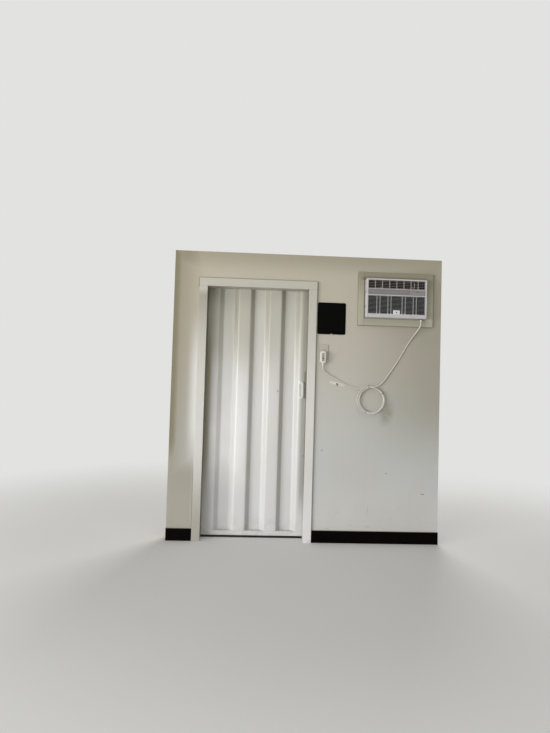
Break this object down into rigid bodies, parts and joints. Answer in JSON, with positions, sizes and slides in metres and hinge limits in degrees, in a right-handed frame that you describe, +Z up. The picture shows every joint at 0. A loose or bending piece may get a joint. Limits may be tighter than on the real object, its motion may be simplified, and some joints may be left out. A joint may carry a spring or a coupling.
{
  "type": "site cabin end wall with door",
  "caption": "Lined corrugated-steel end wall of a portable cabin, with an outward-opening steel door, room air conditioner, breaker panel, outlet, plug and coiled lead.",
  "frame": {"origin": "middle of the underside of the flat steel sill, in the middle of the steel skin's depth", "axes": "+X right as seen from the room, +Y out of the cabin, +Z up"},
  "size_m": [2.13, 0.39, 2.26],
  "materials": {
    "cream_steel": "gloss",
    "frame_steel": "satin",
    "hinge_steel": "worn",
    "timber": "sawn",
    "wall_paint": "matt",
    "trim_paint": "satin",
    "black_base": "satin",
    "ac_plastic": "satin",
    "ac_dark": "matt",
    "ac_metal": "satin",
    "coil_fins": "dull",
    "panel_black": "satin",
    "box_metal": "plain",
    "outlet_plastic": "gloss",
    "cord_plastic": "satin"
  },
  "bodies": {
    "wall": {"sill_bar": "frame_steel", "top_rail": "frame_steel", "jamb_tubes": "frame_steel", "head_tube": "frame_steel", "skin_left": "cream_steel", "skin_over_door": "cream_steel", "skin_middle": "cream_steel", "skin_at_ac": "cream_steel", "skin_right": "cream_steel", "ac_steel_frame": "frame_steel", "bottom_plates": "timber", "top_plate": "timber", "end_studs": "timber", "jamb_studs": "timber", "door_header": "timber", "service_studs": "timber", "ac_cradle": "timber", "lining_left": "wall_paint", "lining_over_door": "wall_paint", "lining_right": "wall_paint", "door_liner_sides": "trim_paint", "door_liner_head": "trim_paint", "casing_left": "trim_paint", "casing_right": "trim_paint", "casing_head": "trim_paint", "base_board_left": "black_base", "base_board_right": "black_base", "hinge_jamb_halves": "hinge_steel", "ac_case": "ac_metal", "ac_condenser": "coil_fins", "ac_front": "ac_plastic", "ac_discharge_grille": "ac_dark", "ac_intake_grille": "ac_dark", "ac_baffle": "ac_dark", "ac_trim_sides": "trim_paint", "ac_trim_rails": "trim_paint", "breaker_box": "box_metal", "breaker_cover": "panel_black", "outlet_box": "box_metal", "outlet_plate": "outlet_plastic", "plug": "cord_plastic", "cord_relief": "cord_plastic", "cord_upper": "cord_plastic", "cord_coil": "cord_plastic", "cord_lower": "cord_plastic"},
    "door": {"leaf_panel": "cream_steel", "leaf_stiles": "cream_steel", "leaf_rails": "cream_steel", "hinge_leaf_halves": "hinge_steel", "pull_inside": "cream_steel", "pull_outside": "cream_steel", "latch_strip": "cream_steel"}
  },
  "joints": [
    {"name": "door_hinge", "type": "hinge", "parent": "wall", "child": "door", "pos_m": [-0.8455, 0.0355, 1], "axis": [0, 0, 1], "range_deg": [0, 165]}
  ]
}
